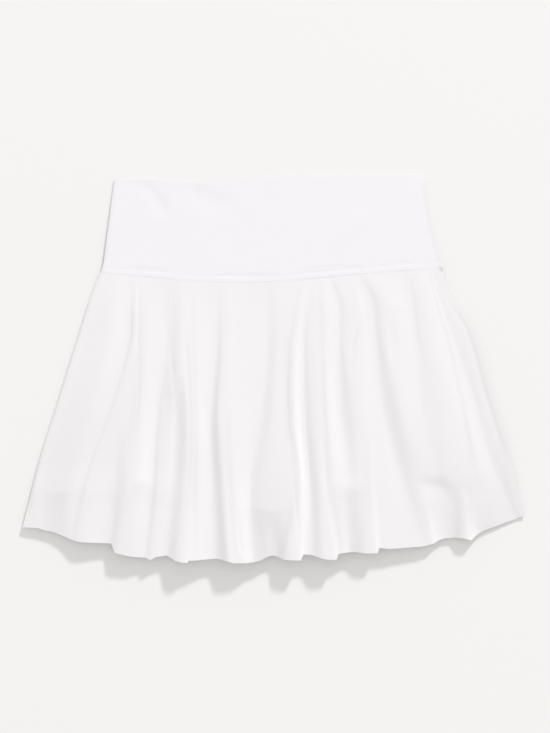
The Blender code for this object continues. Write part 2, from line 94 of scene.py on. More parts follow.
# The skirt front falls in folds. Each row is one long line of them, a crest, edge, shelf or foot, from
# the waist seam to the hem: where it runs (x) and how far it rises above the bed of layers underneath
# (rise), both at the shares of the way down in STATIONS, and how far down its hem ends (hem, y).
STATIONS = (0.0, 0.1, 0.25, 0.5, 0.75, 1.0)
Fold = namedtuple("Fold", "name x rise hem")
FOLDS = (
    Fold("flat_a", (-167.5, -178, -190, -212, -233.5, -240.5), (0.4, 0.5, 0.4, 0.7, 0.6, 1.9), -161.5),
    Fold("crest_a", (-157, -162, -166.8, -184.5, -205.5, -223), (0.5, 1.6, 2.8, 4, 3, 2.2), -166),
    Fold("foot_a", (-146, -146, -147.8, -167.3, -191.5, -208.5), (0.5, 0.7, 0.3, 0.6, 1.4, 3.8), -172),
    Fold("top_a", (-143, -143.2, -144.8, -164, -188, -201), (0.5, 1, 1.4, 1.7, 2.6, 5.6), -174.5),
    Fold("crest_b", (-141, -141, -141.5, -159.3, -179, -193), (0.5, 1.1, 1.6, 2.1, 3, 6.2), -175.5),
    Fold("foot_c", (-138, -138, -139, -153, -159.5, -165.5), (0.45, 1, 1.5, 2.2, 3, 4.6), -177),
    Fold("top_c", (-135, -135, -135.5, -147, -151.5, -161.5), (0.45, 1.2, 1.9, 2.3, 5.6, 6.8), -186),
    Fold("crest_c", (-126.5, -128, -130.5, -135.5, -140.5, -144.5), (0.45, 1.2, 2, 3.4, 5.6, 6.8), -190),
    Fold("foot_d1", (-110.5, -111, -109.7, -119.5, -124, -131), (0.4, 0.2, 0.1, 0.4, 2.6, 5.2), -191),
    Fold("top_d1", (-108.5, -108.8, -108, -115.5, -119.5, -126), (0.4, 0.2, 0.2, 1.2, 3.8, 6.1), -193.5),
    Fold("crest_d", (-106.5, -107, -106.8, -106, -112, -120), (0.4, 0.3, 0.3, 1.8, 3.5, 5.6), -190.5),
    Fold("foot_d", (-104.5, -104.5, -105.5, -99, -102, -109), (0.4, 0.3, 0.4, 1.4, 2.2, 5), -189),
    Fold("top_d", (-95, -95, -95, -89, -92.5, -99.5), (0.45, 1.2, 2.4, 4, 4.9, 9.6), -194),
    Fold("crest_e", (-90, -90, -89, -85.5, -87.5, -93.5), (0.45, 1.2, 2.4, 4, 5.2, 10.9), -195.3),
    Fold("edge_e", (-86, -86.5, -85.5, -82.5, -84, -88), (0.45, 1.1, 2.6, 4.2, 5.2, 10.5), -195.5),
    Fold("foot_e", (-85, -85.5, -84, -81.5, -82.5, -86.5), (0.45, 1, 2.5, 4.1, 5, 10.1), -193.5),
    Fold("crest_g", (-79, -79, -78.5, -77.5, -77.5, -79.5), (0.45, 1.2, 2.6, 3.9, 5, 8.6), -193.5),
    Fold("foot_f", (-55.5, -57.5, -58.5, -64.5, -62, -59), (0.45, 0.7, 1, 1.6, 2.6, 5.6), -192),
    Fold("top_f", (-52.5, -53, -53.5, -56.5, -52, -46.5), (0.45, 1.1, 2.2, 4.4, 6, 10.6), -194.5),
    Fold("crest_h", (-45.5, -46, -46, -49, -46, -41), (0.45, 1.3, 2.4, 4.4, 6, 10.5), -196),
    Fold("edge_h", (-39, -39, -39, -42.5, -39.5, -30), (0.45, 1.1, 2, 4.2, 6, 9.7), -196),
    Fold("shelf_h", (-12.5, -12.5, -12.5, -18, -25, -21), (0.4, 0.5, 0.7, 1.3, 2.8, 6.1), -195.7),
    Fold("foot_g", (-8.5, -6.5, -6.5, -12.5, -23, -13.5), (0.35, 0.3, 0.4, 1.2, 2.8, 6), -193.5),
    Fold("top_g", (5.5, 3.5, 1.5, -3.5, -13.5, -7), (0.4, 0.9, 1.6, 2.9, 4.4, 6.2), -190),
    Fold("flat_g", (18, 12, 7.5, 4.5, 3.5, -2), (0.4, 1, 1.6, 3, 5.4, 6.4), -189),
    Fold("foot_i", (27, 20, 14, 13, 19, 3), (0.4, 0.9, 1.8, 2.9, 5.6, 6.9), -190),
    Fold("top_i", (29.5, 24.5, 17.5, 16.5, 23.5, 9.5), (0.45, 1.5, 2.6, 3.7, 6, 10.3), -192.5),
    Fold("crest_i", (31, 28, 21.5, 21, 27, 20), (0.5, 1.4, 2.6, 3.8, 6, 10.9), -193),
    Fold("edge_i", (33, 30.5, 27, 27, 32, 26.5), (0.45, 1.2, 1.1, 1.6, 4, 10.5), -193),
    Fold("foot_j", (34, 32, 29.5, 31, 35.5, 29), (0.45, 1.1, 0.9, 1.3, 3.5, 8), -187.5),
    Fold("low_j", (34.5, 32.7, 30.5, 32.5, 37, 37), (0.45, 1.1, 0.9, 1.5, 3.6, 7.1), -188),
    Fold("top_j", (37, 36, 34, 38, 44.5, 48.5), (0.45, 1.1, 1.6, 2.8, 6, 10.2), -191.5),
    Fold("crest_j", (40, 40, 39, 43, 49, 55), (0.5, 1.2, 1.9, 3.2, 6.4, 10.3), -192.5),
    Fold("edge_j", (44.5, 45, 45.5, 48.5, 53.5, 62.5), (0.5, 1.2, 1.9, 3.2, 6, 9.7), -192.5),
    Fold("foot_k", (45.5, 46, 47, 50.5, 55, 64.5), (0.5, 1.2, 1.9, 3.2, 6, 8.5), -187),
    Fold("crest_k", (50.5, 51.5, 51.5, 54.5, 60.5, 70.5), (0.55, 1.6, 2.1, 3.5, 6.1, 7.4), -186),
    Fold("foot_l", (56.5, 65, 66, 67.8, 75.5, 76.5), (0.45, 0.4, 0.5, 1.1, 4.4, 5.4), -185.5),
    Fold("top_l", (60.5, 71, 70, 79.5, 84.5, 83.5), (0.5, 1, 1.2, 3.2, 4.7, 6), -185.5),
    Fold("crest_l", (68.5, 79, 79, 89, 90.5, 90.5), (0.5, 1.2, 1.8, 3.4, 4.7, 7.9), -186.5),
    Fold("edge_l", (76, 86, 89, 97, 98.5, 104), (0.5, 1.2, 1.6, 2.7, 4.9, 8), -186),
    Fold("foot_m", (77, 87.5, 91, 99, 100, 106), (0.5, 1.1, 1.4, 2.4, 4.6, 6.8), -181),
    Fold("flat_m", (82, 92, 97, 107, 113, 117), (0.45, 0.7, 0.8, 1.7, 3.7, 5.8), -182.3),
    Fold("low_m", (87, 99.5, 104, 112.5, 129.5, 149.5), (0.45, 0.5, 0.7, 1.5, 2.4, 4), -180),
    Fold("top_m", (93, 106, 110.5, 124.5, 139.5, 156.5), (0.55, 1.5, 2.2, 3.5, 3.3, 3.8), -178.5),
    Fold("crest_n", (102, 114, 119.5, 129.5, 145.5, 161), (0.6, 1.8, 2.4, 3.8, 3.6, 3.6), -177.3),
    Fold("flat_n", (119.5, 127, 132.5, 143.5, 152.5, 166), (0.5, 1.2, 1.8, 2.8, 3.6, 2), -174.5),
    Fold("foot_o", (136, 139.5, 144, 150, 164, 172.5), (0.45, 0.6, 1.1, 2.4, 3.2, 0.9), -172.3),
    Fold("top_o", (140, 144.5, 150, 168, 176, 178.5), (0.5, 1.1, 1.8, 3, 3.6, 0.8), -172),
    Fold("crest_o", (148, 152, 160, 178, 184, 182.5), (0.55, 1.3, 1.9, 2.8, 3.4, 1.4), -171.3),
    Fold("top_q", (154, 158.5, 168, 184, 192.5, 191.5), (0.5, 1, 1.4, 2.4, 3.3, 4.2), -171.8),
    Fold("crest_q", (157, 161.5, 173.5, 188.5, 197, 199.5), (0.45, 0.7, 1, 2, 3.2, 4.3), -173.9),
    Fold("foot_q", (158, 162.8, 175, 190, 201.5, 209), (0.45, 0.65, 0.95, 1.85, 3, 2.2), -166.4),
    Fold("crest_p", (159, 164, 176.5, 191.5, 206, 234), (0.45, 0.6, 0.9, 1.7, 2.8, -0.7), -156.6),
    Fold("foot_p", (161.5, 166.5, 180.5, 203, 219.5, 247.5), (0.4, 0.4, 0.7, 0.9, 1, -1.2), -151.7),
    Fold("top_p", (164, 169.5, 188.5, 208, 227, 249), (0.45, 0.5, 1.2, 1.6, 1.5, -0.9), -151.1),
    Fold("flat_p", (166, 172, 194, 212.5, 232, 250), (0.45, 0.5, 1.2, 1.4, 1.6, -0.8), -150.6),
)
# Past this share of the way down no shorts lie under the skirt's right corner, and it can sink.
BED_ENDS = 0.7
# Each side edge of the skirt: its x at STATIONS, its hem's y, and which way the cloth lies from it.
Side = namedtuple("Side", "x hem inward")
LEFT_SIDE = Side((-178.2, -187.6, -200, -220.2, -240.4, -256), -161, 1)
RIGHT_SIDE = Side((170.8, 177.7, 200, 218.5, 238, 255), -149.5, -1)
# How the front comes down to meet the back at each side: (distance from the side, share of the way up).
# The left roll widens to LEFT_ROLL_HEM past LEFT_WIDENS of the way down. The right side is a plump fold
# that stands above the cloth beside it, by SIDE_PLUMP of RIGHT_ROLL at each share of the way down.
LEFT_ROLL = ((0, 0), (1, 0.55), (3.5, 1))
LEFT_ROLL_HEM = ((0, 0.7), (3, 0.8), (12, 1))
LEFT_WIDENS = 0.84
RIGHT_ROLL = ((0, 1.24), (1, 1.22), (2.2, 1.15), (4.4, 1))
SIDE_PLUMP = ((0, 0.1), (0.12, 0.3), (0.22, 1), (0.66, 1), (0.8, 0), (1, 0))
# The back curls up into that fold, by a height at each share of the way down, over a short reach. At the
# hem's left corner it lifts with the front, past LEFT_WIDENS.
BACK_CURL = ((0, 1.4), (0.3, 1.7), (0.7, 1.5), (1, 0.2))
BACK_CURL_REACH = 2.2
CORNER_LIFT = 2.1
CORNER_REACH = 16.0

# Creases and soft ridges pressed into the skirt front on top of its folds, each along a smooth line of
# (x, y, reach on one side, reach on the other, height). The sides are the left and the right of a line
# that runs down, and below and above one that runs to the right. A height under nought is a trough.
CREASES = {
    "thin_b": (
        (-140, 45, 2, 1.5, -0.1), (-137, 0, 2, 1.5, -0.25), (-139, -45, 2, 1.5, -0.25),
        (-142, -66, 2, 1.5, -0.1),
    ),
    "slant_d": (
        (-98, 30, 4, 5, 0.05), (-98.5, 19, 4.5, 5.5, 0.3), (-100.5, -1, 5, 6, 1.1),
        (-101.5, -11, 5.5, 6.5, 1.4), (-101.5, -21, 6, 6, 1.3), (-101.5, -31, 6, 5.5, 0.9),
        (-102, -42, 6, 5, 0.4), (-103, -52, 6, 5, 0.1),
    ),
    "thin_l": ((84, 42, 2, 2, -0.1), (80, 24, 2, 2, -0.6), (78, -2, 2, 2, -0.1)),
    "thin_n": ((118, 52, 2.2, 2.2, -0.1), (119, 30, 2.2, 2.2, -0.6), (121, 4, 2.2, 2.2, -0.1)),
    "dash_n": ((116, 62, 2, 4, 0.03), (124, 62.8, 2, 5, 0.15), (131, 62, 2, 4, 0.03)),
    "step_c": ((-146, -115, 6, 9, 0.05), (-134, -115, 6, 9, 0.45), (-124, -115, 6, 9, 0.1)),
    "step_k": ((58, -117, 5, 7, 0.05), (72, -119, 5, 7, 0.3), (88, -120, 5, 7, 0.1)),
    "stripe_k": ((72, -124, 5, 5, -0.1), (73, -140, 5, 5, -0.4), (74, -165, 5, 5, -0.2)),
    "notch": (
        (-0.5, -152, 5, 6, -0.1), (0, -164, 5, 7, -0.9), (0.5, -176, 6, 8, -1.5), (1.5, -192, 11, 10, -1.8),
    ),
    "thin_h": ((-38, -140, 2, 2, -0.1), (-36.5, -156, 2, 2, -0.5), (-33, -184, 2, 2, -0.5)),
    "thin_i": (
        (21, -110, 1.5, 1.5, -0.1), (21.5, -132, 1.5, 1.5, -0.4), (23.5, -160, 1.5, 1.5, -0.4),
        (25, -180, 1.5, 1.5, -0.1),
    ),
    "hook": (
        (146, -117, 10, 7, -0.1), (157, -118, 12, 6.5, -0.95), (167, -119, 13, 6.5, -1),
        (174.5, -123.5, 13, 6.5, -0.95), (178, -133, 12, 6.5, -0.85), (180, -146, 11, 6.5, -0.55),
        (182, -164, 10, 6.5, -0.35), (183.5, -174, 9, 6.5, -0.3),
    ),
    "droop_q": (
        (206, -136, 8, 12, -0.05), (208, -149, 10, 14, -0.6), (209, -159, 10, 14, -1.2),
        (211, -168, 9, 16, -2),
    ),
    "stripe_q": (
        (195, -115, 5, 6, -0.05), (197, -130, 5, 6, -0.5), (199.5, -150, 5, 6, -0.6), (202, -170, 5, 6, -0.6),
    ),
}

# The skirt back's low folds, which fade out from the hem to BACK_FOLDS_START of the way down: where each
# runs, its height at the hem and its reach to either side.
BackFold = namedtuple("BackFold", "x height reach")
BACK_FOLDS = (
    BackFold(-190, 2.5, 11),
    BackFold(-147, 2.5, 13),
    BackFold(-88, 4, 12),
    BackFold(-32, 4, 14),
    BackFold(24, 3.5, 9),
    BackFold(57, 4, 10),
    BackFold(99, 3, 11),
    BackFold(150, 1.5, 12),
    BackFold(197, 2.5, 12),
)
BACK_FOLDS_START = 0.87

# The mouth at the waist: how far the band's front lifts off the back, at each share of the way across.
MOUTH_LIFT = ((0, 0), (0.12, 0.22), (0.28, 0.24), (0.5, 0.1), (0.72, 0.05), (0.9, 0.12), (1, 0))
# The band's side folds: the right one swells up to its edge, from a little below the top edge, and the
# left one rolls down. The band's back lies a little inside its front, and the skirt's back does too.
BAND_RIGHT_SWELL = 0.25
BAND_RIGHT_REACH = 3.2
BAND_SWELL_STARTS = 0.1
BAND_LEFT_ROLL = 0.6
BAND_LEFT_REACH = 3.0
BAND_INSET = 0.8
BAND_INSET_LEFT = 2.8
SKIRT_INSET = 1.2
# The waist seam: the gap of the joint, how far above it the band still follows the skirt's top edge, how
# the pressed-up seam allowance shows as (distance above the joint, height), and how strongly it shows
# along the seam as (x, strength), with a fine ripple of two sine waves, each with its length for one
# radian.
JOINT_GAP = 0.06
SEAM_BLEND = 12.0
SEAM_RELIEF = ((0, -0.07), (1.4, 0), (3.2, 0.02), (5, 0.02), (7, -0.05), (9.8, 0.02), (13, 0))
SEAM_PUCKER = (
    (-177, 0), (-164, 0), (-157, 0.6), (-148, 0.5), (-140, 1.3), (-113, 1.2), (-104, 0.2), (-85, 0.4),
    (-65, 0.4), (-54, 1.1), (-30, 1.3), (0, 1.2), (7, 0.3), (20, 0.3), (29, 1.2), (60, 1.5), (86, 1.3),
    (92, 0.5), (104, 0.8), (120, 0.6), (134, 1), (150, 0.5), (160, 0.3), (165, 1.2), (171, 1.5),
)
RIPPLE = 0.35
RIPPLE_SHORT = 1.9
RIPPLE_LONG = 5.3
# Behind, the seam's two rows of stitches draw the band up off the floor by their own thickness.
BACK_SEAM_MIDDLE = 4.5
BACK_SEAM_REACH = 12.0
BACK_SEAM_LIFT = 0.3
# Painted shade at the seam, where shade falls along the joint and under the turned-up edges: a line along the
# joint and a wider one where the turned-up edges end, as (distance above the joint, loss of lightness).
SEAM_SHADE = ((0, 0.02), (1.2, 0.012), (2, 0), (7, 0), (8, 0.012), (11.5, 0.012), (14, 0), (20, 0))
# The band's creases, in the same columns as the skirt's.
BAND_CREASES = {
    "left": (
        (-146, 189, 7, 4, -0.05), (-130, 184.5, 8, 4.5, -0.33), (-122, 177, 9, 5, -0.33),
        (-113, 163, 9, 6, -0.35), (-107, 154, 8, 6, -0.05),
    ),
    "patch": (
        (-92, 183, 10, 7, -0.1), (-78, 178, 13, 8, -0.36), (-62, 172, 13, 8, -0.36), (-46, 165, 12, 7, -0.05),
    ),
    "right": ((108, 170, 7, 6, 0.05), (86, 150, 8, 7, 0.25), (64, 129, 7, 6, 0.05)),
    "groove_c": (
        (-148, 100.5, 1.6, 1.6, -0.02), (-128, 102.5, 1.6, 1.6, -0.12), (-108, 99.5, 1.6, 1.6, -0.02),
    ),
    "groove_f": ((-56, 95.5, 1.6, 1.6, -0.02), (-30, 95.5, 1.6, 1.6, -0.1), (-8, 96.5, 1.6, 1.6, -0.02)),
    "groove_k": ((30, 101.5, 1.6, 1.6, -0.02), (60, 104, 1.6, 1.6, -0.14), (88, 104, 1.6, 1.6, -0.02)),
    "groove_n": ((126, 108, 1.5, 1.5, -0.02), (135, 108.5, 1.5, 1.5, -0.1), (144, 109, 1.5, 1.5, -0.02)),
}

# Inner shorts: the middle seam runs straight from the waist to the crotch, CROTCH_SHARE of the way to the
# hem. Each leg has the x of its outer edge at the waist, and its hem as (x, y) points from the inner edge
# to the outer one.
SHORTS_MIDDLE_X = -3.5
CROTCH = (2, -52)
CROTCH_SHARE = 0.6
Leg = namedtuple("Leg", "side outer_x hem")
LEGS = (
    Leg("left", -168, ((-9, -143), (-78, -129), (-133, -124), (-236, -125))),
    Leg("right", 161, ((22, -138), (72, -125), (166, -112), (222, -108))),
)
# The shorts' hems are turned up: how far, how thick they are, and how soon the cloth thins again.
SHORTS_HEM = 16.0
SHORTS_HEM_CLOTH = 0.9
SHORTS_HEM_EDGE = 1.2
# The skirt swells over the shorts' hems: by (x, height), with its reach towards the waist and the hem, and
# less where a fold holds it clear of them, down to nothing at SWELL_CLEAR.
SWELL = (
    (-255, 0.2), (-150, 0.4), (-120, 0.4), (-90, 0.15), (40, 0.2), (60, 0.3), (90, 0.3), (110, 0.08),
    (255, 0.05),
)
SWELL_UP = 30.0
SWELL_DOWN = 17.0
SWELL_CLEAR = 9.0

# Painted shade for light passing through the thin skirt: how much darker it is painted at its hem than at its
# waist, and where no shorts lie behind it, as (x, loss of lightness), with the length over which the shorts'
# hems show soft.
SKIRT_LENGTH = 280.0
SKIRT_PAINTED_FADE = 0.03
UNBACKED_PAINTED_SHADE = (
    (-256, 0), (-237, 0.004), (-229, 0.028), (-213, 0.04), (-205, 0.008), (-150, 0.005), (-100, 0.004),
    (-60, 0.004), (-32, 0.01), (-24, 0.045), (0, 0.05), (10, 0.02), (30, 0), (58, 0.01), (66, 0.03),
    (82, 0.035), (88, 0.005), (150, 0), (190, 0.005), (200, 0.015), (225, 0.005), (255, 0),
)
UNBACKED_REACH = 5.0

# How finely each panel is divided. The band and the shorts have coarse rows from their top edges down to
# the share of the way given last, and fine ones from there, for the seam and for the hem.
COLUMN_WIDTH = 1.7
SKIRT_ROWS = 140
BACK_COLUMNS = 161
BACK_ROWS = 71
BAND_COLUMNS = 231
BAND_ROWS = (50, 46, 0.82)
SHORTS_COLUMNS = 61
SHORTS_ROWS = (70, 30, 0.9)
# A crease's line is divided into steps of this length, and into no fewer than so many. It is worked out
# as far as so many of its widest reaches, and no reach is under LEAST_REACH.
CREASE_STEP = 2
CREASE_LEAST_STEPS = 12
CREASE_FAR = 3
LEAST_REACH = 0.3
# A panel's edge: how far its round goes out, as a share of half the cloth's thickness, how many rows of
# points it has, how light it is painted (painted shade that tones down its lit rim), and the angle past which
# an edge of the cloth shades sharp. The round is shallow on the skirt's front and the band, whose outlines
# show.
EDGE_REACH = 0.4
SHALLOW_REACH = 0.15
EDGE_ROWS = 2
BAND_EDGE_ROWS = 3
RIM_SHADE = 0.8
RIM_ANGLE = math.radians(38)


def mix(low, high, share):
    return low + (high - low) * share


def ease(share):
    """0 to 1 with a level start and end."""
    share = np.clip(share, 0, 1)
    return share * share * (3 - 2 * share)


def curve(points, at):
    """Values at stations on the smooth curve through (station, value) points; at may be an array."""
    stations = np.array([point[0] for point in points], dtype=float)
    values = np.array([point[1] for point in points], dtype=float)
    at = np.asarray(at, dtype=float)
    start = np.clip(np.searchsorted(stations, at, side="right") - 1, 0, len(points) - 2)
    before = np.maximum(start - 1, 0)
    after = np.minimum(start + 2, len(points) - 1)
    span = stations[start + 1] - stations[start]
    share = (at - stations[start]) / span
    leave = (values[start + 1] - values[before]) / (stations[start + 1] - stations[before]) * span
    arrive = (values[after] - values[start]) / (stations[after] - stations[start]) * span
    bend = share * (1 - share)
    smooth = mix(values[start], values[start + 1], share * share * (3 - 2 * share))
    return smooth + bend * ((1 - share) * leave - share * arrive)


def place(x, y, z):
    """Points of the tables in the row frame, as an array with a last axis of 3."""
    x, y, z = np.broadcast_arrays(x, y, z)
    right = ORIGIN[0] + (x - MIDDLE_X) * MM
    ahead = ORIGIN[1] + (y - MIDDLE_Y) * MM
    return np.stack((right, ahead, ORIGIN[2] + z * MM), axis=-1)


def rows_down(coarse, fine, fine_from):
    """Shares of the way down a panel at which its rows lie, as a column."""
    upper = np.linspace(0, fine_from, coarse, endpoint=False)
    return np.concatenate((upper, np.linspace(fine_from, 1, fine)))[:, None]


def through_stations(values, down):
    """The value at a share of the way down, from its values at STATIONS."""
    return float(curve(tuple(zip(STATIONS, values)), down))


def front_knots(down):
    """Corner points of the skirt front's section, from left to right: (x, rise, x at the seam, hem's y)."""
    folds = []
    for fold in FOLDS:
        lowest = min(fold.rise[-1], 0) * max(down - BED_ENDS, 0) / (1 - BED_ENDS)
        rise = max(through_stations(fold.rise, down), lowest)
        folds.append((through_stations(fold.x, down), rise, fold.x[0], fold.hem))
    rolls = []
    widen = float(ease((down - LEFT_WIDENS) / (1 - LEFT_WIDENS)))
    left_roll = mix(np.array(LEFT_ROLL), np.array(LEFT_ROLL_HEM), widen)
    plump = max(float(curve(SIDE_PLUMP, down)), 0)
    right_roll = [(distance, 1 + (share - 1) * plump) for distance, share in RIGHT_ROLL]
    for side, neighbour, shape in ((LEFT_SIDE, folds[0], left_roll), (RIGHT_SIDE, folds[-1], right_roll)):
        roll = []
        side_x = through_stations(side.x, down)
        for distance, share in shape:
            toward = distance / abs(neighbour[0] - side_x)
            height = mix(SKIRT_SIDE_Z - BED_Z, neighbour[1], share)
            seam_x = mix(side.x[0], neighbour[2], toward)
            hem = mix(side.hem, neighbour[3], toward)
            roll.append((side_x + side.inward * distance, height, seam_x, hem))
        rolls.append(roll)
    return np.array(rolls[0] + folds + rolls[1][::-1])


def between(knots, index, share):
    """(x, rise) on the smooth curve that passes through the knots, between each indexed knot and the next."""
    points = knots[:, :2]
    near = points[index]
    far = points[index + 1]
    before = np.where((index > 0)[:, None], points[np.maximum(index - 1, 0)], 2 * near - far)
    last = len(points) - 1
    after = np.where((index + 2 <= last)[:, None], points[np.minimum(index + 2, last)], 2 * far - near)
    span = np.linalg.norm(far - near, axis=1)[:, None] ** 0.5
    span_before = np.linalg.norm(near - before, axis=1)[:, None] ** 0.5
    span_after = np.linalg.norm(after - far, axis=1)[:, None] ** 0.5
    step = far - near
    leave = step / span + (near - before) / span_before - (far - before) / (span + span_before)
    arrive = step / span + (after - far) / span_after - (after - near) / (span + span_after)
    share = share[:, None]
    bend = share * (1 - share) * span
    return near + step * share * share * (3 - 2 * share) + bend * ((1 - share) * leave - share * arrive)


def front_columns():
    """Where the columns of the skirt front lie: knot on the left, and share of the way to the next."""
    knots = front_knots(STATIONS[-1])
    index, share = [], []
    for left in range(len(knots) - 1):
        width = knots[left + 1][0] - knots[left][0]
        parts = max(1, round(width / COLUMN_WIDTH))
        index += [left] * parts
        share += [part / parts for part in range(parts)]
    return np.array(index + [len(knots) - 2]), np.array(share + [1.0])


def press(x, y, creases):
    """Height that the creases add at each point."""
    added = np.zeros_like(x)
    for points in creases.values():
        table = np.array(points, dtype=float)
        along = np.concatenate(([0], np.cumsum(np.hypot(np.diff(table[:, 0]), np.diff(table[:, 1])))))
        fine = np.linspace(0, along[-1], max(CREASE_LEAST_STEPS, int(along[-1] / CREASE_STEP)))
        line = [curve(tuple(zip(along, column)), fine) for column in table.T]
        line_x, line_y, reach_left, reach_right, height = line
        side_x, side_y = -np.gradient(line_y), np.gradient(line_x)
        far = CREASE_FAR * max(reach_left.max(), reach_right.max())
        near_it = (x > line_x.min() - far) & (x < line_x.max() + far)
        near_it &= (y > line_y.min() - far) & (y < line_y.max() + far)
        away = np.hypot(x[near_it][:, None] - line_x, y[near_it][:, None] - line_y)
        closest = away.argmin(axis=1)
        across = (x[near_it] - line_x[closest]) * side_x[closest]
        across += (y[near_it] - line_y[closest]) * side_y[closest]
        reach = np.maximum(np.where(across > 0, reach_right[closest], reach_left[closest]), LEAST_REACH)
        added[near_it] += height[closest] * np.exp(-((away.min(axis=1) / reach) ** 2))
    return added


def shorts_hem_y(x):
    """How far down the shorts' hems reach at x, with the gap between the legs bridged."""
    left = LEGS[0].hem[::-1]
    right = LEGS[1].hem
    return curve(left + right, np.clip(x, left[0][0], right[-1][0]))


def skirt_front_grid():
    """x, y and height of the skirt front, by rows from its seam to its hem."""
    index, share = front_columns()
    x, y, z = [], [], []
    for row in range(SKIRT_ROWS + 1):
        down = row / SKIRT_ROWS
        knots = front_knots(down)
        section = between(knots, index, share)
        lowest = np.minimum(np.minimum(knots[index][:, 1], knots[index + 1][:, 1]), 0)
        rise = np.maximum(section[:, 1], lowest)
        seam = curve(WAIST_SEAM, mix(knots[index][:, 2], knots[index + 1][:, 2], share)) - JOINT_GAP / 2
        hem = mix(knots[index][:, 3], knots[index + 1][:, 3], share)
        row_y = mix(seam, hem, down)
        past = shorts_hem_y(section[:, 0]) - row_y
        swell = np.where(past > 0, ease(1 - past / SWELL_DOWN), ease(1 + past / SWELL_UP))
        touching = 1 - ease(rise / SWELL_CLEAR)
        x.append(section[:, 0])
        y.append(row_y)
        z.append(BED_Z + rise + curve(SWELL, section[:, 0]) * swell * touching)
    x, y, z = np.array(x), np.array(y), np.array(z)
    return x, y, z + press(x, y, CREASES)


def painted_show_through(x, y):
    """Painted light and shade for light passing through the thin skirt: lighter where the white shorts lie
    close behind it, darker lower down.
    """
    past = shorts_hem_y(x) - y
    fade = (curve(WAIST_SEAM, x) - y) / SKIRT_LENGTH
    loss = np.maximum(curve(UNBACKED_PAINTED_SHADE, x), 0)
    return 1 - SKIRT_PAINTED_FADE * ease(fade) - loss * ease(past / UNBACKED_REACH + 0.5)


def new_material(name):
    material = bpy.data.materials.new(name)
    material.use_nodes = True
    return material


def new_piece(name, mesh, material):
    """A piece of the object that has this mesh and material."""
    mesh.materials.append(material)
    piece = bpy.data.objects.new(name, mesh)
    bpy.context.scene.collection.objects.link(piece)
    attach(piece, "root")
    return piece


def border(rows, columns):
    """The rows and the columns of the points that run round the border of a grid."""
    ring = [(0, column) for column in range(columns - 1)]
    ring += [(row, columns - 1) for row in range(rows - 1)]
    ring += [(rows - 1, column) for column in range(columns - 1, 0, -1)]
    ring += [(row, 0) for row in range(rows - 1, 0, -1)]
    return np.array(ring).T


def shell(name, points, thickness, material, rim=EDGE_ROWS, reach=EDGE_REACH, painted_shading=None):
    """A sheet of cloth about a grid of points in the row frame, rows by columns, with rounded edges.

    rim is how many rows of points the round of its edge has and reach how far it goes out, as EDGE_REACH
    does, and the last argument is the painted light and shade: how light the cloth is painted at each point.
    """
    rows, columns = points.shape[:2]
    across = np.gradient(points, axis=1)
    down = np.gradient(points, axis=0)
    normal = np.cross(down, across)
    normal /= np.linalg.norm(normal, axis=2)[:, :, None]
    half = (np.broadcast_to(np.asarray(thickness, dtype=float), (rows, columns)) * MM / 2)[:, :, None]
    outer = points + normal * half
    inner = points - normal * half
    vertices = [outer.reshape(-1, 3), inner.reshape(-1, 3)]
    number = np.arange(rows * columns).reshape(rows, columns)
    quads = np.stack((number[:-1, :-1], number[1:, :-1], number[1:, 1:], number[:-1, 1:]), axis=-1)
    quads = quads.reshape(-1, 4)
    # The inner face has the same quads, wound the other way round.
    faces = [quads, quads[:, (0, 3, 2, 1)] + rows * columns]
    # Each point of the border gets a half circle from the outer to the inner face.
    ring_rows, ring_columns = border(rows, columns)
    middle = points[ring_rows, ring_columns]
    ring_normal = normal[ring_rows, ring_columns]
    along = np.roll(middle, -1, axis=0) - np.roll(middle, 1, axis=0)
    outward = np.cross(ring_normal, along)
    outward /= np.linalg.norm(outward, axis=1)[:, None]
    inward = points[rows // 2, columns // 2] - middle
    if np.sum(outward * inward) > 0:
        outward = -outward
    ring_half = half[ring_rows, ring_columns]
    previous = number[ring_rows, ring_columns]
    base = 2 * rows * columns
    for step in range(1, rim + 2):
        if step <= rim:
            angle = math.pi * step / (rim + 1)
            circle = middle + ring_half * (math.cos(angle) * ring_normal + reach * math.sin(angle) * outward)
            vertices.append(circle)
            current = base + np.arange(len(middle))
            base += len(middle)
        else:
            current = number[ring_rows, ring_columns] + rows * columns
        faces.append(np.stack((np.roll(previous, -1), np.roll(current, -1), current, previous), axis=-1))
        previous = current
    mesh = bpy.data.meshes.new(name)
    mesh.from_pydata(np.concatenate(vertices).tolist(), [], np.concatenate(faces).tolist())
    mesh.update()

    # The cloth's weave lies flat over the ground plan, and its edge is painted a little darker than its
    # faces: painted shade that tones down its lit rim.
    plan = points[:, :, :2]
    per_vertex = np.concatenate([plan.reshape(-1, 2)] * 2 + [plan[ring_rows, ring_columns]] * rim)
    loops = np.empty(len(mesh.loops), dtype=int)
    mesh.loops.foreach_get("vertex_index", loops)
    mesh.uv_layers.new(name="cloth").data.foreach_set("uv", per_vertex[loops].ravel())
    shade = np.ones((rows, columns)) if painted_shading is None else painted_shading
    ring_shade = shade[ring_rows, ring_columns] * RIM_SHADE
    per_vertex = np.concatenate([shade.ravel()] * 2 + [ring_shade] * rim)
    mesh.attributes.new("painted_lightness", "FLOAT", "POINT").data.foreach_set("value", per_vertex)
    mesh.shade_smooth()
    mesh.set_sharp_from_angle(angle=RIM_ANGLE)
    return new_piece(name, mesh, material)


def math_node(nodes, links, operation, first, second):
    """A Math node fed by two values, each a socket or a number."""
    node = nodes.new("ShaderNodeMath")
    node.operation = operation
    for socket, value in zip(node.inputs, (first, second)):
        if isinstance(value, bpy.types.NodeSocket):
            links.new(value, socket)
        else:
            socket.default_value = value
    return node.outputs["Value"]


def noise(nodes, links, vector, scale, detail):
    """A Noise Texture over vector, as a socket of shares."""
    texture = nodes.new("ShaderNodeTexNoise")
    texture.inputs["Scale"].default_value = scale
    texture.inputs["Detail"].default_value = detail
    links.new(vector, texture.inputs["Vector"])
    return texture.outputs["Fac"]


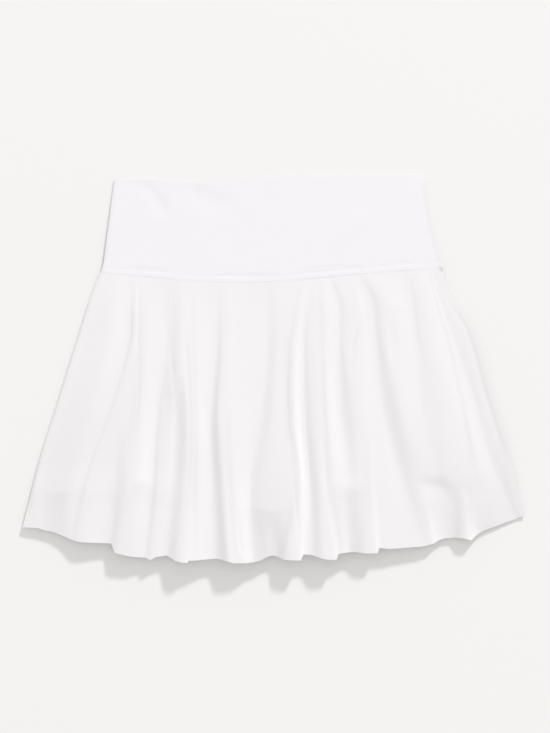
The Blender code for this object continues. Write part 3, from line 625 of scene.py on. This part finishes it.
def shaded_colour(nodes, links, colour, shade, shader):
    """The shader's base colour is colour, as light as the shade socket says."""
    shaded = nodes.new("ShaderNodeVectorMath")
    shaded.operation = "SCALE"
    shaded.inputs[0].default_value = colour
    links.new(shade, shaded.inputs["Scale"])
    links.new(shaded.outputs["Vector"], shader.inputs["Base Color"])


def relief(nodes, links, height, strength, depth, shader):
    """The shader's bump is the height socket, depth millimetres deep."""
    bump = nodes.new("ShaderNodeBump")
    bump.inputs["Strength"].default_value = strength
    bump.inputs["Distance"].default_value = depth * MM
    links.new(height, bump.inputs["Height"])
    links.new(bump.outputs["Normal"], shader.inputs["Normal"])


def varied(nodes, links, texture, middle, spread):
    """Values about middle that follow a texture socket, spread apart."""
    value = math_node(nodes, links, "MULTIPLY_ADD", texture, spread)
    value.node.inputs[2].default_value = middle - spread / 2
    return value


# Plain knit: a loop's height and how far its legs slant, in loops, both by the width of a column, how
# much the yarn's waves stand up beside the furrows, the bump's strength, and the fineness of the fuzz.
LOOP_HEIGHT = 0.8
LOOP_SLANT = 1.3
YARN_RELIEF = 0.3
BUMP_STRENGTH = 0.6
FUZZ_SCALE = 2.5
# The finish varies slowly over the cloth: how fast, and how much lightness and roughness vary with it.
UNEVEN_SCALE = 0.03
UNEVEN_SHADE = 0.008
ROUGHNESS = 0.74
ROUGHNESS_SPREAD = 0.12


def cloth_material(name, colour, translucent, gauge, depth, sheen):
    """Fine plain knit. gauge is the width of a column of loops in mm, and depth how deep the loops are."""
    material = new_material(name)
    nodes = material.node_tree.nodes
    links = material.node_tree.links
    shader = nodes["Principled BSDF"]
    shader.inputs["Specular IOR Level"].default_value = 0.25
    shader.inputs["Sheen Weight"].default_value = sheen
    shader.inputs["Sheen Roughness"].default_value = 0.4

    # Millimetres over the cloth, then columns of loops.
    place_on = nodes.new("ShaderNodeUVMap")
    place_on.uv_map = "cloth"
    cloth_mm = nodes.new("ShaderNodeVectorMath")
    cloth_mm.operation = "SCALE"
    cloth_mm.inputs["Scale"].default_value = 1 / MM
    links.new(place_on.outputs["UV"], cloth_mm.inputs[0])
    split = nodes.new("ShaderNodeSeparateXYZ")
    links.new(cloth_mm.outputs["Vector"], split.inputs["Vector"])
    column = math_node(nodes, links, "DIVIDE", split.outputs["X"], gauge)
    course = math_node(nodes, links, "DIVIDE", split.outputs["Y"], gauge * LOOP_HEIGHT)

    # Each column is a chain of V shapes: two slanting legs of yarn with a furrow beside and between them.
    within = math_node(nodes, links, "SUBTRACT", math_node(nodes, links, "FRACT", column, 0), 0.5)
    from_middle = math_node(nodes, links, "ABSOLUTE", within, 0)
    slant = math_node(nodes, links, "MULTIPLY", from_middle, LOOP_SLANT)
    turn = math_node(nodes, links, "MULTIPLY", math_node(nodes, links, "ADD", course, slant), math.tau)
    yarn = math_node(nodes, links, "SINE", turn, 0)
    furrow = math_node(nodes, links, "SINE", math_node(nodes, links, "MULTIPLY", from_middle, math.tau), 0)
    height = math_node(nodes, links, "ADD", math_node(nodes, links, "MULTIPLY", yarn, YARN_RELIEF), furrow)
    fuzz = noise(nodes, links, cloth_mm.outputs["Vector"], FUZZ_SCALE, 3)
    relief(nodes, links, math_node(nodes, links, "ADD", height, fuzz), BUMP_STRENGTH, depth, shader)

    # The dye and the finish are a little uneven, and painted light and shade come from an attribute of the
    # mesh.
    uneven = noise(nodes, links, cloth_mm.outputs["Vector"], UNEVEN_SCALE, 2)
    painted_lightness = nodes.new("ShaderNodeAttribute")
    painted_lightness.attribute_name = "painted_lightness"
    dye = varied(nodes, links, uneven, 1, UNEVEN_SHADE)
    shade = math_node(nodes, links, "MULTIPLY", painted_lightness.outputs["Fac"], dye)
    shaded_colour(nodes, links, colour, shade, shader)
    links.new(varied(nodes, links, uneven, ROUGHNESS, ROUGHNESS_SPREAD), shader.inputs["Roughness"])

    through = nodes.new("ShaderNodeBsdfTranslucent")
    through.inputs["Color"].default_value = (0.97, 0.97, 0.97, 1.0)
    blend = nodes.new("ShaderNodeMixShader")
    blend.inputs["Fac"].default_value = translucent
    links.new(shader.outputs["BSDF"], blend.inputs[1])
    links.new(through.outputs["BSDF"], blend.inputs[2])
    links.new(blend.outputs["Shader"], nodes["Material Output"].inputs["Surface"])
    return material


SKIRT_KNIT = cloth_material(
    "skirt_knit", (0.912, 0.897, 0.911), translucent=0.06, gauge=0.6, depth=0.03, sheen=0.12)
BAND_KNIT = cloth_material(
    "waistband_knit", (0.925, 0.9, 0.94), translucent=0.05, gauge=0.7, depth=0.04, sheen=0.08)
SHORTS_KNIT = cloth_material(
    "shorts_knit", (0.93, 0.92, 0.93), translucent=0.08, gauge=0.6, depth=0.03, sheen=0.08)

# Skirt front.
front_x, front_y, front_z = skirt_front_grid()
# Its lightness is painted: painted light and shade for the shorts showing through it.
skirt_front = shell(
    "skirt_front_cloth", place(front_x, front_y, front_z), SKIRT_CLOTH, SKIRT_KNIT,
    reach=SHALLOW_REACH, painted_shading=painted_show_through(front_x, front_y))
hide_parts("skirt_front")


def skirt_back_grid():
    """x, y and height of the skirt back, which lies on the floor, by rows from its seam to its hem."""
    across = np.linspace(0, 1, BACK_COLUMNS)[None, :]
    down = np.linspace(0, 1, BACK_ROWS)[:, None]
    left = curve(tuple(zip(STATIONS, LEFT_SIDE.x)), down) + SKIRT_INSET
    right = curve(tuple(zip(STATIONS, RIGHT_SIDE.x)), down) - SKIRT_INSET
    x = mix(left, right, across)
    top = curve(WAIST_SEAM, mix(LEFT_SIDE.x[0], RIGHT_SIDE.x[0], across))
    hem = curve(BACK_HEM, mix(LEFT_SIDE.x[-1], RIGHT_SIDE.x[-1], across))
    y = mix(top, hem, down)
    growth = np.maximum(down - BACK_FOLDS_START, 0) / (1 - BACK_FOLDS_START)
    rise = np.zeros_like(x)
    for fold in BACK_FOLDS:
        rise += fold.height * growth * ease(1 - np.abs(x - fold.x) / fold.reach)
    curl = curve(BACK_CURL, down) * ease(1 - (right - x) / BACK_CURL_REACH)
    corner = CORNER_LIFT * ease((down - LEFT_WIDENS) / (1 - LEFT_WIDENS))
    corner = corner * ease(1 - (x - left) / CORNER_REACH)
    return x, y, SKIRT_BACK_Z + rise + curl + corner


# Skirt back.
skirt_back = shell("skirt_back_cloth", place(*skirt_back_grid()), SKIRT_CLOTH, SKIRT_KNIT)
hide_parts("skirt_back")


def band_surface(across, down, front):
    """Points of half the waistband: across from left to right, down from its top edge to the seam."""
    left = curve(BAND_LEFT, down)
    right = curve(BAND_RIGHT, down)
    x = mix(left, right, across)
    top = curve(BAND_TOP, mix(BAND_LEFT[0][1], BAND_RIGHT[0][1], across))
    seam = curve(WAIST_SEAM, mix(BAND_LEFT[-1][1], BAND_RIGHT[-1][1], across)) + JOINT_GAP / 2
    y = mix(top, seam, down)
    if not front:
        x = mix(left + BAND_INSET_LEFT, right - BAND_INSET, across)
        y = mix(top - BAND_INSET, seam, down)
        drawn = ease(1 - np.abs(y - seam - BACK_SEAM_MIDDLE) / BACK_SEAM_REACH)
        return x, y, BAND_BACK_Z + BACK_SEAM_LIFT * drawn
    lift = np.maximum(curve(MOUTH_LIFT, across), 0) * (1 - down) ** 2
    z = mix(BAND_FRONT_Z, BAND_SEAM_Z, down) + lift + press(x, y, BAND_CREASES)
    z += BAND_RIGHT_SWELL * (1 - ease((right - x) / BAND_RIGHT_REACH)) * ease(down / BAND_SWELL_STARTS)
    z -= BAND_LEFT_ROLL * np.clip(1 - (x - left) / BAND_LEFT_REACH, 0, 1) ** 2
    # Near the seam the band follows the skirt's top edge, less the difference of their thicknesses.
    above = y - seam
    meet = np.interp(x, front_x[0], front_z[0]) + (SKIRT_CLOTH - BAND_CLOTH) / 2
    z += (meet - BAND_SEAM_Z) * ease(1 - above / SEAM_BLEND)
    pucker = curve(SEAM_PUCKER, x) * (1 + RIPPLE * np.sin(x / RIPPLE_SHORT) * np.sin(x / RIPPLE_LONG + 1))
    return x, y, z + pucker * curve(SEAM_RELIEF, np.clip(above, 0, SEAM_RELIEF[-1][0]))


def seam_painted_shade(x, y):
    """Painted shade on the band: a little darker along its joint and where the turned-up edges end."""
    above = y - curve(WAIST_SEAM, np.clip(x, WAIST_SEAM[0][0], WAIST_SEAM[-1][0]))
    stations, losses = zip(*SEAM_SHADE)
    return 1 - curve(SEAM_PUCKER, x) * np.interp(above, stations, losses)


def band_grid(front):
    """x, y and height of half the waistband, by rows from its top edge to its seam."""
    return band_surface(np.linspace(0, 1, BAND_COLUMNS)[None, :], rows_down(*BAND_ROWS), front)


# Waistband.
band_x, band_y, band_z = band_grid(True)
# Its lightness is painted: painted shade along the waist seam.
band_front = shell(
    "waistband_front_cloth", place(band_x, band_y, band_z), BAND_CLOTH, BAND_KNIT,
    rim=BAND_EDGE_ROWS, reach=SHALLOW_REACH, painted_shading=seam_painted_shade(band_x, band_y))
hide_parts("waistband_front")
band_back = shell(
    "waistband_back_cloth", place(*band_grid(False)), BAND_CLOTH, BAND_KNIT,
    rim=BAND_EDGE_ROWS, reach=SHALLOW_REACH)
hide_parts("waistband_back")


def shorts_grid(leg, front):
    """Points of one leg panel and their thickness: near its hem the cloth is folded double and stacks up."""
    inner_top = (SHORTS_MIDDLE_X, float(curve(WAIST_SEAM, SHORTS_MIDDLE_X)))
    outer_top = (leg.outer_x, float(curve(WAIST_SEAM, leg.outer_x)))
    hem = tuple(sorted(leg.hem))
    inner_hem, outer_hem = leg.hem[0], leg.hem[-1]
    across = np.linspace(0, 1, SHORTS_COLUMNS)[None, :]
    down = rows_down(*SHORTS_ROWS)
    upper = np.clip(down / CROTCH_SHARE, 0, 1)
    lower = np.clip((down - CROTCH_SHARE) / (1 - CROTCH_SHARE), 0, 1)
    inner_x = mix(inner_top[0], CROTCH[0], upper) + (inner_hem[0] - CROTCH[0]) * lower
    inner_y = mix(inner_top[1], CROTCH[1], upper) + (inner_hem[1] - CROTCH[1]) * lower
    x = mix(inner_x, mix(outer_top[0], outer_hem[0], down), across)
    seam_bow = curve(WAIST_SEAM, mix(inner_top[0], outer_top[0], across))
    seam_bow -= mix(inner_top[1], outer_top[1], across)
    hem_bow = curve(hem, mix(inner_hem[0], outer_hem[0], across))
    hem_bow -= mix(inner_hem[1], outer_hem[1], across)
    y = mix(inner_y, mix(outer_top[1], outer_hem[1], down), across) + mix(seam_bow, hem_bow, down)
    above = (1 - down) * (outer_top[1] - outer_hem[1]) + np.zeros_like(x)
    double = 1 - ease((above - SHORTS_HEM) / SHORTS_HEM_EDGE)
    # Each doubled hem raises its own middle by half of what it gains, and the front's by the back's too.
    lift = (SHORTS_HEM_CLOTH - SHORTS_CLOTH) * double
    z = SHORTS_FRONT_Z + 1.5 * lift if front else SHORTS_BACK_Z + 0.5 * lift
    return x, y, z, SHORTS_CLOTH + lift


# Inner shorts.
for leg in LEGS:
    for layer, rests in (("front", f"shorts_back_{leg.side}"), ("back", "skirt_back")):
        node = f"shorts_{layer}_{leg.side}"
        grid_x, grid_y, grid_z, thick = shorts_grid(leg, layer == "front")
        piece = shell(f"{node}_cloth", place(grid_x, grid_y, grid_z), thick, SHORTS_KNIT)
        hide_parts(node)

# Thread: each stitch is a short bead of thread that arches out of the cloth and dips into it at both
# ends, where it is narrowed to THREAD_END of its width.
THREAD_RADIUS = 0.16
THREAD_SINK = 0.1
THREAD_ARCH = 0.16
THREAD_END = 0.5
STITCH_RINGS = 7
STITCH_SIDES = 6
# Its twist: the pitch, how deep it is and how much it shades, and the radians that a slanting wave of
# the texture turns through in each unit of its scale.
TWIST_PITCH = 0.3
TWIST_DEPTH = 0.03
TWIST_SHADE = 0.06
TWIST_WAVES = 10.0
# The waist seam's rows of stitches, by their distance above the joint, and where they stop at its ends.
STITCH_LENGTH = 2.3
STITCH_PITCH = 3.0
SEAM_ROWS = (1.5, 7.4)
SEAM_ROW_INSET = 3.0
# The bar tack that holds the right end of the waist seam, with close stitches across it.
TACK_X = (168, 171)
TACK_PITCH = 0.4
TACK_RADIUS = 0.2
TACK_FOOT = -3.0
TACK_TOP = 4.8
# on_band() comes this many times nearer to the point that it looks for.
ON_BAND_ROUNDS = 3


def stitches(name, starts, ends, radius, material, outward=1.0):
    """One mesh of stitches from starts to ends, arrays of points in the row frame, on a level surface.

    outward is 1 on a surface that faces up and -1 on one that faces down.
    """
    starts, ends = np.asarray(starts), np.asarray(ends)
    along = ends - starts
    along /= np.linalg.norm(along, axis=1)[:, None]
    up = np.array((0.0, 0.0, outward))
    beside = np.cross(along, up)
    vertices = []
    for ring in range(STITCH_RINGS):
        share = ring / (STITCH_RINGS - 1)
        swell = math.sin(math.pi * share)
        centre = mix(starts, ends, share) + up * (THREAD_ARCH * swell - THREAD_SINK) * MM
        for side in range(STITCH_SIDES):
            angle = math.tau * side / STITCH_SIDES
            width = radius * MM * mix(THREAD_END, 1, swell)
            vertices.append(centre + width * (math.cos(angle) * beside + math.sin(angle) * up))
    count = STITCH_RINGS * STITCH_SIDES
    vertices = np.stack(vertices, axis=1).reshape(-1, 3)
    one = []
    for ring in range(STITCH_RINGS - 1):
        for side in range(STITCH_SIDES):
            here = ring * STITCH_SIDES + side
            beyond = ring * STITCH_SIDES + (side + 1) % STITCH_SIDES
            one.append((here, here + STITCH_SIDES, beyond + STITCH_SIDES, beyond))
    caps = [tuple(range(STITCH_SIDES)), tuple(range(count - 1, count - 1 - STITCH_SIDES, -1))]
    faces = []
    for stitch in range(len(starts)):
        faces += [tuple(number + stitch * count for number in face) for face in one + caps]
    mesh = bpy.data.meshes.new(name)
    mesh.from_pydata(vertices.tolist(), [], faces)
    mesh.update()
    mesh.shade_smooth()
    new_piece(name, mesh, material)


def on_band(x, above, front=True):
    """Points on the outer face of the band's front or back at x, so far above the waist seam."""
    across = (x - BAND_LEFT[-1][1]) / (BAND_RIGHT[-1][1] - BAND_LEFT[-1][1])
    for _ in range(ON_BAND_ROUNDS):
        seam = curve(WAIST_SEAM, mix(BAND_LEFT[-1][1], BAND_RIGHT[-1][1], across))
        top = curve(BAND_TOP, mix(BAND_LEFT[0][1], BAND_RIGHT[0][1], across))
        down = 1 - above / (top - seam)
        left, right = curve(BAND_LEFT, down), curve(BAND_RIGHT, down)
        across = (x - left) / (right - left)
    found_x, found_y, middle_z = band_surface(across, down, front)
    return place(found_x, found_y, middle_z + BAND_CLOTH / 2 if front else middle_z - BAND_CLOTH / 2)


def thread_material(name, colour):
    """Sewing thread, lighter and darker over the strands of its twist."""
    material = new_material(name)
    nodes = material.node_tree.nodes
    links = material.node_tree.links
    shader = nodes["Principled BSDF"]
    shader.inputs["Roughness"].default_value = 0.6
    shader.inputs["Sheen Weight"].default_value = 0.1
    place_on = nodes.new("ShaderNodeTexCoord")
    twist = nodes.new("ShaderNodeTexWave")
    twist.bands_direction = "DIAGONAL"
    twist.inputs["Scale"].default_value = math.tau / (TWIST_WAVES * TWIST_PITCH * MM)
    links.new(place_on.outputs["Object"], twist.inputs["Vector"])
    strands = varied(nodes, links, twist.outputs["Fac"], 1, TWIST_SHADE)
    shaded_colour(nodes, links, colour, strands, shader)
    relief(nodes, links, twist.outputs["Fac"], BUMP_STRENGTH, TWIST_DEPTH, shader)
    return material


# The waist seam's stitches, in front and behind.
THREAD = thread_material("thread", (0.9, 0.88, 0.9))
row_left = BAND_LEFT[-1][1] + SEAM_ROW_INSET
row_right = BAND_RIGHT[-1][1] - SEAM_ROW_INSET - STITCH_LENGTH
stitch_x = np.arange(row_left, row_right, STITCH_PITCH)
for side, front in (("front", True), ("back", False)):
    starts = np.concatenate([on_band(stitch_x, above, front) for above in SEAM_ROWS])
    ends = np.concatenate([on_band(stitch_x + STITCH_LENGTH, above, front) for above in SEAM_ROWS])
    stitches(f"waist_seam_{side}", starts, ends, THREAD_RADIUS, THREAD, 1.0 if front else -1.0)

# The bar tack. Its thread is a little darker than the seam's, partly painted shade for the dark spot where
# the seam ends.
TACK_THREAD = thread_material("tack_thread", (0.87, 0.85, 0.88))
tack_x = np.arange(TACK_X[0], TACK_X[1], TACK_PITCH)
tack_feet = on_band(tack_x, TACK_FOOT)
tack_tops = on_band(tack_x + TACK_PITCH / 2, TACK_TOP)
stitches("bar_tack", tack_feet, tack_tops, TACK_RADIUS, TACK_THREAD)

# Floor, in metres: a pale sheet just under the lowest layers, so that no two surfaces coincide.
FLOOR_HALF = 12.0
FLOOR_BELOW = 0.0001
floor_mesh = bpy.data.meshes.new("floor")
floor_z = ORIGIN[2] - FLOOR_BELOW
corners = [(x * FLOOR_HALF, y * FLOOR_HALF, floor_z) for x, y in ((-1, -1), (1, -1), (1, 1), (-1, 1))]
floor_mesh.from_pydata(corners, [], [(0, 1, 2, 3)])
floor = bpy.data.objects.new("floor", floor_mesh)
bpy.context.scene.collection.objects.link(floor)
floor_material = new_material("floor_paper")
paper = floor_material.node_tree.nodes["Principled BSDF"]
paper.inputs["Base Color"].default_value = (0.88, 0.865, 0.857, 1)
paper.inputs["Roughness"].default_value = 0.9
paper.inputs["Specular IOR Level"].default_value = 0.1
floor_mesh.materials.append(floor_material)

# Light, in metres, degrees and watts: a soft low key from beyond the waist and a little to the right, and
# an even fill.
KEY_DISTANCE = 20.0
KEY_AZIMUTH = 24.5
KEY_ELEVATION = 20.0
KEY_SIZE = 1.75
KEY_POWER = 3000.0
FILL = 0.79
key_data = bpy.data.lights.new("key", "AREA")
key_data.shape = "DISK"
key_data.size = KEY_SIZE
key_data.energy = KEY_POWER
key = bpy.data.objects.new("key", key_data)
azimuth, elevation = math.radians(KEY_AZIMUTH), math.radians(KEY_ELEVATION)
level = math.cos(elevation)
toward = Vector((math.sin(azimuth) * level, math.cos(azimuth) * level, math.sin(elevation)))
key.location = toward * KEY_DISTANCE
key.rotation_euler = (-toward).to_track_quat("-Z", "Y").to_euler()
bpy.context.scene.collection.objects.link(key)
world = bpy.data.worlds.new("studio")
world.use_nodes = True
background = world.node_tree.nodes["Background"]
background.inputs["Color"].default_value = (1.0, 0.995, 0.99, 1)
background.inputs["Strength"].default_value = FILL
bpy.context.scene.world = world
bpy.context.scene.view_settings.view_transform = "Standard"

# Camera, in metres and millimetres of lens: straight down, with the waist at the top of the picture.
CAMERA_HEIGHT = 1.2
CAMERA_LENS = 57.8
CAMERA_SENSOR = 36.0
CAMERA_X = 0.001
CAMERA_Y = 0.002
camera_data = bpy.data.cameras.new("camera")
camera_data.lens = CAMERA_LENS
camera_data.sensor_width = CAMERA_SENSOR
camera = bpy.data.objects.new("camera", camera_data)
camera.location = (ORIGIN[0] + CAMERA_X, ORIGIN[1] + CAMERA_Y, ORIGIN[2] + CAMERA_HEIGHT)
bpy.context.scene.collection.objects.link(camera)
bpy.context.scene.camera = camera
